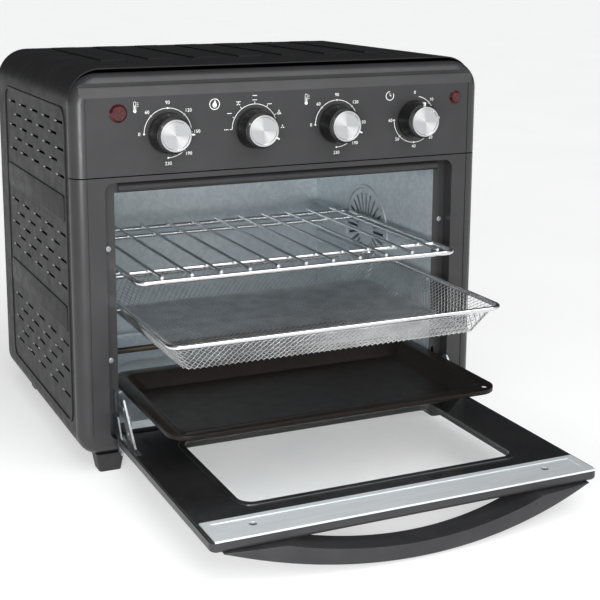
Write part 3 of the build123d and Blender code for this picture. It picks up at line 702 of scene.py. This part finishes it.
def flame_icon(x, z):
    """A flame in a ring, from a dot drawn out to a point."""
    centre = on_face(x, z)
    ring = ink_arc(centre, 4.6 * MM, 0.6 * MM, 0, 360, 48)
    flame = ink_dot(centre - Vector((0, 0, 0.8 * MM)), 2.0 * MM)
    pick(flame, "vertices", lambda vertex: vertex.co.z > centre.z + 0.4 * MM)
    bpy.ops.transform.resize(value=(0.35, 1, 1), center_override=centre)
    bpy.ops.transform.translate(value=(0.3 * MM, 0, 2.2 * MM))
    bpy.ops.object.mode_set(mode="OBJECT")
    return [ring, flame]


def clock_icon(x, z):
    """An open ring with two hands."""
    centre = on_face(x, z)
    ring = ink_arc(centre, 4.0 * MM, 0.6 * MM, 60, 300, 60)
    hands = [ink_bar(centre + Vector((0, 0, 1.2 * MM)), 2.6 * MM, 0.5 * MM, 0),
             ink_bar(centre + Vector((0.8 * MM, 0, 0)), 1.8 * MM, 0.5 * MM)]
    return [ring, *hands]


def fan_icon(point):
    """Three-bladed fan."""
    blades = [ink_bar(clock_point(point, 0.9 * MM, turn), 1.8 * MM, 0.8 * MM, turn)
              for turn in (0, 120, 240)]
    return [ink_dot(point, 0.6 * MM), *blades]


def cooking_icon(point, upper, lower, fan):
    """Bars for the upper and lower heaters, and a fan between them."""
    marks = []
    for shown, rise in ((upper, 1.9 * MM), (lower, -1.9 * MM)):
        if shown:
            marks.append(ink_bar(point + Vector((0, 0, rise)), 4.4 * MM, 0.55 * MM))
    if fan:
        marks += fan_icon(point)
    return marks


def temperature_dial(centre):
    """Arc from nine o'clock round to six, with a dot and a number at each step."""
    marks = [ink_arc(centre, DIAL_R, 0.5 * MM, 270, 270)]
    steps = ((270, "0"), (315, "60"), (0, "90"), (45, "120"), (90, "150"), (135, "190"), (180, "230"))
    for clock, text in steps:
        marks.append(ink_dot(clock_point(centre, DIAL_R, clock), 0.85 * MM))
        marks.append(ink_number(text, clock_point(centre, LABEL_R + len(text) * 0.35 * MM, clock)))
    return marks


def function_dial(centre):
    """Arc from nine o'clock to three, with a tick and a cooking sign at each step."""
    marks = [ink_arc(centre, DIAL_R, 0.5 * MM, 270, 180)]
    signs = ((270, False, False, False), (297, True, False, False), (325, True, False, True),
             (0, True, True, False), (32, False, True, False), (60, False, True, True),
             (90, False, False, True))
    for clock, upper, lower, fan in signs:
        marks.append(ink_bar(clock_point(centre, DIAL_R + 1.1 * MM, clock), 2.2 * MM, 0.5 * MM, clock))
        point = clock_point(centre, LABEL_R + 1.5 * MM, clock)
        marks += cooking_icon(point, upper, lower, fan)
        if not (upper or lower or fan):
            marks += [ink_dot(point + Vector((side * 1.5 * MM, 0, 0)), 0.45 * MM)
                      for side in (-1, 0, 1)]
    return marks


def timer_dial(centre):
    """Arc clockwise from twelve to nine, numbered in tens of minutes."""
    marks = [ink_arc(centre, DIAL_R, 0.5 * MM, 8, 262)]
    for step in range(7):
        clock = step * 45
        if step:
            marks.append(ink_dot(clock_point(centre, DIAL_R, clock), 0.85 * MM))
        text = str(step * 10)
        label_r = LABEL_R + len(text) * 0.3 * MM - 0.8 * MM
        marks.append(ink_number(text, clock_point(centre, label_r, clock)))
    return marks


def print_dials():
    """The marks round each knob, with the sign beside it."""
    makers = {"upper_temp": temperature_dial, "function": function_dial,
              "lower_temp": temperature_dial, "timer": timer_dial}
    icons = {"upper_temp": thermometer_icon, "function": flame_icon,
             "lower_temp": thermometer_icon, "timer": clock_icon}
    icon_shift = {"upper_temp": -29.5 * MM, "function": -38.0 * MM,
                  "lower_temp": -31.0 * MM, "timer": -26.5 * MM}
    icon_rise = 23 * MM
    for name in KNOBS:
        low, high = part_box(name + "_knob_cap")
        centre = on_face((low.x + high.x) / 2, (low.z + high.z) / 2)
        marks = makers[name](centre)
        marks += icons[name](centre.x + icon_shift[name], centre.z + icon_rise)
        hand_over(joined(marks, name + "_dial_print"), "root", "fascia_paint", INK)


def knob_pointer(name):
    """Small white fin on the knob's shoulder, at the set position."""
    low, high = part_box(name + "_knob_body")
    centre = (low + high) / 2
    skirt_r = 16 * MM
    front = low.y
    fin = rounded_box((centre.x - 0.6 * MM, front - 1.6 * MM, centre.z + skirt_r - 1.4 * MM),
                      (centre.x + 0.6 * MM, front + 2.4 * MM, centre.z + skirt_r + 1.7 * MM), 0.25 * MM)
    turn = Matrix.Rotation(math.radians(POINTER_CLOCK[name]), 4, "Y")
    fin.data.transform(Matrix.Translation(centre) @ turn @ Matrix.Translation(-centre))
    fin.name = name + "_knob_pointer"
    hand_over(fin, name + "_knob", "knob_plastic", INK)


# ---- screws and rivets ----------------------------------------------------------------------
def cross_screw(radius, height):
    """Domed screw head with a cross recess, at the origin, its axis along -Y."""
    deselect()
    bpy.ops.mesh.primitive_cylinder_add(vertices=28, radius=radius, depth=height)
    screw = bpy.context.object
    pick(screw, "polygons", lambda face: face.normal.z > 0.9)
    bpy.ops.mesh.bevel(offset=min(radius, height) * 0.45, segments=4)
    bpy.ops.object.mode_set(mode="OBJECT")
    slot_half, slot_width = radius * 0.55, radius * 0.2
    for half in ((slot_half, slot_width), (slot_width, slot_half)):
        cutter = box_between((-half[0], -half[1], 0), (half[0], half[1], height))
        add_modifier(screw, "BOOLEAN", operation="DIFFERENCE", object=cutter)
        bpy.data.objects.remove(cutter)
    screw.data.transform(Matrix.Rotation(math.pi / 2, 4, "X"))
    soften(screw, 40)
    return screw


def fit_flange_screws():
    """A screw on each side of the opening, through the black plate behind the fascia."""
    plate_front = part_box("cavity_flange")[0].y
    height = 1.6 * MM
    model = cross_screw(2.6 * MM, height)
    screws = [copy_of(model, Matrix.Translation((x * MM, plate_front - height / 2, z * MM)))
              for x in (-166.5, 166.5) for z in (100, 201)]
    bpy.data.objects.remove(model)
    hand_over(joined(screws, "flange_screws"), "root", "zinc", FINISHES["zinc"])


def fit_rear_screws():
    """Cross-headed screws in place of the plain heads on the rear panel."""
    low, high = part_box("casing_screws")
    height = high.y - low.y
    radius = 3.5 * MM
    model = cross_screw(radius, height)
    backwards = Matrix.Rotation(math.pi, 4, "Z")
    middle = (low.y + high.y) / 2
    side = high.x - radius
    places = [(-side, low.z + radius), (side, low.z + radius), (-side, 200 * MM), (side, 200 * MM),
              (-120 * MM, high.z - radius), (120 * MM, high.z - radius)]
    screws = [copy_of(model, Matrix.Translation((x, middle, z)) @ backwards) for x, z in places]
    bpy.data.objects.remove(model)
    hand_over(joined(screws, "rear_panel_screws"), "root", "zinc", FINISHES["zinc"], "casing_screws")


def rivet(radius, height):
    """Round rivet head at the origin, along -X."""
    deselect()
    bpy.ops.mesh.primitive_cylinder_add(vertices=20, radius=radius, depth=height,
                                        rotation=(0, -math.pi / 2, 0))
    head = bpy.context.object
    settle(head)
    pick(head, "polygons", lambda face: face.normal.x < -0.9)
    bpy.ops.mesh.bevel(offset=height * 0.8, segments=4)
    bpy.ops.object.mode_set(mode="OBJECT")
    soften(head, 50)
    return head


def fit_lever_rivets():
    """Two rivets on each hinge lever."""
    height = 0.4 * MM
    places = ((-14 * MM, 63 * MM), (-27 * MM, 45 * MM))
    for side in ("left", "right"):
        low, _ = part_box(side + "_hinge_arm")
        model = rivet(2.2 * MM, height)
        x = low.x - height / 2
        rivets = [copy_of(model, Matrix.Translation((x, FACE_Y + y, z))) for y, z in places]
        bpy.data.objects.remove(model)
        hand_over(joined(rivets, side + "_lever_rivets"), "door", "zinc", FINISHES["zinc"])


# ---- cavity ---------------------------------------------------------------------------------
def emboss_fan_guard():
    """Raised ring pressed round the fan's slots on the right-hand liner."""
    low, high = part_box("fan_housing")
    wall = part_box("cavity_right_wall")[0].x
    deselect()
    bpy.ops.mesh.primitive_torus_add(major_segments=64, minor_segments=12,
                                     major_radius=46 * MM, minor_radius=2.2 * MM,
                                     location=(wall, (low.y + high.y) / 2, (low.z + high.z) / 2),
                                     rotation=(0, math.pi / 2, 0))
    ring = bpy.context.object
    settle(ring)
    pick(ring, "polygons", lambda face: True)
    bpy.ops.mesh.bisect(plane_co=(wall - 0.05 * MM, 0, 0), plane_no=(1, 0, 0), clear_outer=True)
    bpy.ops.object.mode_set(mode="OBJECT")
    pick(ring, "vertices", lambda vertex: True)
    bpy.ops.transform.resize(value=(0.5, 1, 1), center_override=(wall, 0, 0))
    bpy.ops.object.mode_set(mode="OBJECT")
    soften(ring, 60)
    ring.name = "fan_guard_ring"
    hand_over(ring, "root", "galvanised", FINISHES["galvanised"])


# ---- handle ---------------------------------------------------------------------------------
def arc_height(x, half, rise):
    """Height of a circular arc over its chord, rise at the middle and nothing at half."""
    radius = (half ** 2 + rise ** 2) / (2 * rise)
    return math.sqrt(max(radius ** 2 - x ** 2, 0)) - (radius - rise) if abs(x) < half else 0.0


def mould_handle():
    """Bow with a hollowed inner face and rounded edges, in the shape of its CAD solid."""
    low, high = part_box("door_handle")
    half, top = high.x - 1.5 * MM, high.z
    drop, thick = top - low.z, 12 * MM
    gap_half = 112 * MM
    bulge_front, bulge_back = 14 * MM, 28 * MM
    hollow = 1.4 * MM
    deselect()
    bpy.ops.mesh.primitive_grid_add(x_subdivisions=72, y_subdivisions=6, size=2)
    bow = bpy.context.object
    pick(bow, "polygons", lambda face: True)
    bpy.ops.mesh.extrude_region_move(TRANSFORM_OT_translate={"value": (0, 0, -1)})
    bpy.ops.object.mode_set(mode="OBJECT")
    for vertex in bow.data.vertices:
        x = vertex.co.x * half
        across = (vertex.co.y + 1) / 2
        front = low.y + bulge_front - arc_height(x, high.x, bulge_front)
        back = high.y - arc_height(x, high.x, bulge_back)
        outer = top - arc_height(x, high.x, drop)
        inner = top - arc_height(x, gap_half, drop - thick)
        if abs(x) < gap_half:
            inner -= hollow * (1 - (2 * across - 1) ** 4) * min(1, (top - inner) / (4 * MM))
        z = inner if vertex.co.z > -0.5 else min(outer, inner - 0.8 * MM)
        vertex.co = (x, front + (back - front) * across, z)
    pick(bow, "polygons", lambda face: True)
    bpy.ops.mesh.normals_make_consistent(inside=False)
    bpy.ops.object.mode_set(mode="OBJECT")
    add_modifier(bow, "BEVEL", width=1.6 * MM, segments=3, angle_limit=math.radians(50))
    soften(bow, 45)
    bow.name = "door_bow_handle"
    hand_over(bow, "door", "handle_plastic", FINISHES["handle_plastic"], "door_handle")


# ---- tray -----------------------------------------------------------------------------------
def press_tray():
    """The baking tray with its pressed edges rolled over instead of sharp."""
    tray = copy_of(nodes["baking_tray"], Matrix())
    tray.name = "rolled_baking_tray"
    pick(tray, "vertices", lambda vertex: True)
    bpy.ops.mesh.remove_doubles(threshold=0.01 * MM)
    bpy.ops.mesh.customdata_custom_splitnormals_clear()
    bpy.ops.object.mode_set(mode="OBJECT")
    add_modifier(tray, "DECIMATE", decimate_type="DISSOLVE", angle_limit=math.radians(4))
    add_modifier(tray, "BEVEL", width=0.5 * MM, segments=2, angle_limit=math.radians(30))
    soften(tray, 40)
    hand_over(tray, "tray", "tray_coating", FINISHES["tray_coating"], "baking_tray")


# ---- basket ---------------------------------------------------------------------------------
WEAVE_PITCH = 5.4 * MM
WIRE_R = 0.33 * MM


def wire(path, normals, vertices, faces):
    """Add a four-sided wire along a path, given the cloth's normal at each point."""
    first = len(vertices)
    for i, point in enumerate(path):
        along = (path[min(i + 1, len(path) - 1)] - path[max(i - 1, 0)]).normalized()
        across = along.cross(normals[i]).normalized()
        up = across.cross(along)
        vertices += [point + (across * a + up * b) * WIRE_R for a, b in ((1, 0), (0, 1), (-1, 0), (0, -1))]
    for i in range(len(path) - 1):
        a = first + 4 * i
        faces += [(a + k, a + 4 + k, a + 4 + (k + 1) % 4, a + (k + 1) % 4) for k in range(4)]
    last = first + 4 * (len(path) - 1)
    faces += [(first, first + 1, first + 2, first + 3), (last + 3, last + 2, last + 1, last)]


def mesh_piece(name, vertices, faces):
    """An object from worked-out vertices and faces, facing outwards."""
    data = bpy.data.meshes.new(name)
    data.from_pydata(vertices, [], faces)
    piece = bpy.data.objects.new(name, data)
    bpy.context.scene.collection.objects.link(piece)
    pick(piece, "polygons", lambda face: True)
    bpy.ops.mesh.normals_make_consistent(inside=False)
    bpy.ops.object.mode_set(mode="OBJECT")
    soften(piece, 60)
    return piece


def rounded_loop(half_x, half_y, centre_y, radius, fraction, lengths):
    """Point and outward normal a fraction of the way round a rounded rectangle.

    lengths are those of a side that faces x, a side that faces y, and a corner.
    """
    straight_x, straight_y = half_x - radius, half_y - radius
    corners = [(straight_x, -straight_y), (straight_x, straight_y), (-straight_x, straight_y),
               (-straight_x, -straight_y)]
    around = 2 * (lengths[0] + lengths[1] + 2 * lengths[2])
    distance = (fraction % 1.0) * around
    for side in range(4):
        turn = math.radians(-90 + 90 * side)
        start = corners[side - 1]
        end = corners[side]
        run = lengths[side % 2]
        if distance <= run:
            share = distance / run
            normal = Vector((math.cos(turn), math.sin(turn), 0))
            x = start[0] + (end[0] - start[0]) * share
            y = start[1] + (end[1] - start[1]) * share
            return Vector((x, y + centre_y, 0)) + normal * radius, normal
        distance -= run
        if distance <= lengths[2]:
            turn += math.radians(90) * distance / lengths[2]
            normal = Vector((math.cos(turn), math.sin(turn), 0))
            return Vector((*end, 0)) + Vector((0, centre_y, 0)) + normal * radius, normal
        distance -= lengths[2]
    return rounded_loop(half_x, half_y, centre_y, radius, 0.0, lengths)


def weave_walls(low, high, slope, radius):
    """Diagonal wires round the sloping walls, each over and under the ones it crosses."""
    half_x, half_y = (high.x - low.x) / 2, (high.y - low.y) / 2
    centre_y = (high.y + low.y) / 2
    lengths = [2 * (half_x - slope / 2 - radius), 2 * (half_y - slope / 2 - radius), radius * math.pi / 2]
    around = 2 * (lengths[0] + lengths[1]) + 4 * lengths[2]
    count = 2 * round(around / WEAVE_PITCH / 2)
    lift = high.z - low.z
    rows = round(math.hypot(lift, slope) / (WEAVE_PITCH / 2))
    tilt = math.atan2(slope, lift)
    vertices, faces = [], []

    def place(step, row, side):
        share = row / rows
        fraction = step / (2 * count)
        inner, normal = rounded_loop(half_x - slope, half_y - slope, centre_y, radius, fraction, lengths)
        outer, _ = rounded_loop(half_x, half_y, centre_y, radius, fraction, lengths)
        outward = (normal * math.cos(tilt) - Vector((0, 0, math.sin(tilt)))).normalized()
        point = inner.lerp(outer, share) + Vector((0, 0, low.z + lift * share))
        return point - outward * (0.9 * MM - side * WIRE_R), outward

    for start in range(count):
        for direction in (-1, 1):
            steps = [(2 * start + direction * row, row) for row in range(rows + 1)]
            shift = 0 if direction > 0 else 1
            over = [1 if (row + shift) % 2 else -1 for row in range(rows + 1)]
            placed = [place(step, row, side) for (step, row), side in zip(steps, over)]
            wire([p for p, _ in placed], [n for _, n in placed], vertices, faces)
    return mesh_piece("basket_wall_weave", vertices, faces)


def weave_bottom(low, high, slope, radius):
    """Diagonal wires across the bottom, cut off at its rounded corners."""
    centre = Vector(((high.x + low.x) / 2, (high.y + low.y) / 2, low.z + 0.9 * MM))
    half_x, half_y = (high.x - low.x) / 2 - slope, (high.y - low.y) / 2 - slope
    cut = half_x + half_y - radius * (2 - math.sqrt(2))
    limits = [(1, 0, half_x), (-1, 0, half_x), (0, 1, half_y), (0, -1, half_y),
              (1, 1, cut), (1, -1, cut), (-1, 1, cut), (-1, -1, cut)]
    step = WEAVE_PITCH / 2
    reach = int((half_x + half_y) / step) + 2
    up = Vector((0, 0, 1))
    vertices, faces = [], []
    for line in range(-reach, reach + 1, 2):
        for direction in (-1, 1):
            shift = 0 if direction > 0 else 1
            along = []
            for k in range(-reach, reach + 1):
                u, v = k * step, direction * (k - line) * step
                if all(a * u + b * v <= limit for a, b, limit in limits):
                    side = 1 if (k + shift) % 2 else -1
                    along.append(centre + Vector((u, v, side * WIRE_R)))
            if len(along) > 2:
                wire(along, [up] * len(along), vertices, faces)
    return mesh_piece("basket_bottom_weave", vertices, faces)


def weave_basket():
    """Woven wire cloth on the basket's walls and bottom."""
    low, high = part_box("basket_mesh")
    slope, radius = 14 * MM, 9 * MM
    walls = weave_walls(low, high, slope, radius)
    bottom = weave_bottom(low, high, slope, radius)
    hand_over(walls, "basket", "mesh_steel", FINISHES["mesh_steel"], "basket_mesh")
    hand_over(bottom, "basket", "mesh_steel", FINISHES["mesh_steel"], "basket_mesh")


# ---- studio ---------------------------------------------------------------------------------
def set_camera():
    """Long lens from the front left, a little above the oven."""
    data = bpy.data.cameras.new("studio_camera")
    data.sensor_width = 36
    data.lens = 76.15
    data.shift_x = 0.0604
    data.shift_y = -0.15
    camera = bpy.data.objects.new("studio_camera", data)
    bpy.context.scene.collection.objects.link(camera)
    camera.location = (-0.4728, -1.0452, 0.4464)
    yaw, pitch = math.radians(23.55), math.radians(11.07)
    camera.rotation_euler = (math.pi / 2 - pitch, 0, -yaw)
    bpy.context.scene.camera = camera


def area_light(name, size, power, location, target):
    """A rectangular light that faces a target."""
    data = bpy.data.lights.new(name, "AREA")
    data.shape = "RECTANGLE"
    data.size, data.size_y = size
    data.energy = power
    light = bpy.data.objects.new(name, data)
    bpy.context.scene.collection.objects.link(light)
    light.location = location
    light.rotation_euler = (Vector(target) - Vector(location)).to_track_quat("-Z", "Y").to_euler()


def set_world():
    """Surroundings that are bright in front of the oven and dark behind it."""
    world = bpy.data.worlds.new("studio_world")
    world.use_nodes = True
    bpy.context.scene.world = world
    background = world.node_tree.nodes["Background"]
    direction = add_node(world, "ShaderNodeTexCoord").outputs["Generated"]
    axes = add_node(world, "ShaderNodeSeparateXYZ", links={"Vector": direction})
    forwards = add_node(world, "ShaderNodeMapRange", links={"Value": axes.outputs["Y"]},
                        values={"From Min": 0.1, "From Max": -0.9, "To Min": 0.0, "To Max": 1.0})
    ramp = add_node(world, "ShaderNodeValToRGB", links={"Fac": forwards.outputs["Result"]})
    back, front = ramp.color_ramp.elements
    back.color, front.color = hex_colour("303132"), hex_colour("f0f2f4")
    world.node_tree.links.new(ramp.outputs["Color"], background.inputs["Color"])


def set_studio():
    """Pale floor that fills the view, soft overhead light and a large front softbox."""
    deselect()
    bpy.ops.mesh.primitive_plane_add(size=60, location=(0, 0, 0))
    floor = bpy.context.object
    floor.name = "studio_floor"
    floor.data.materials.append(pale_floor_paint())
    set_world()
    sun = bpy.data.lights.new("overhead", "SUN")
    sun.energy = 1.8
    sun.angle = math.radians(60)
    overhead = bpy.data.objects.new("overhead", sun)
    bpy.context.scene.collection.objects.link(overhead)
    overhead.rotation_euler = (math.radians(35), math.radians(8), 0)
    area_light("front_softbox", (1.4, 1.0), 11, (-0.5, -2.2, 1.0), (0, 0, 0.2))
    area_light("left_strip", (0.05, 1.6), 2.5, (-1.25, -1.9, 0.6), (-0.2, -0.25, 0.2))
    area_light("cavity_fill", (0.3, 0.1), 3.0, (-0.42, -0.7, 0.24), (0.16, 0.1, 0.2))
    bpy.context.scene.view_settings.view_transform = "Standard"


set_camera()
set_studio()
finish_nodes()
dress_casing()
print_dials()
for knob in KNOBS:
    knob_pointer(knob)
fit_flange_screws()
fit_rear_screws()
fit_lever_rivets()
emboss_fan_guard()
mould_handle()
press_tray()
weave_basket()
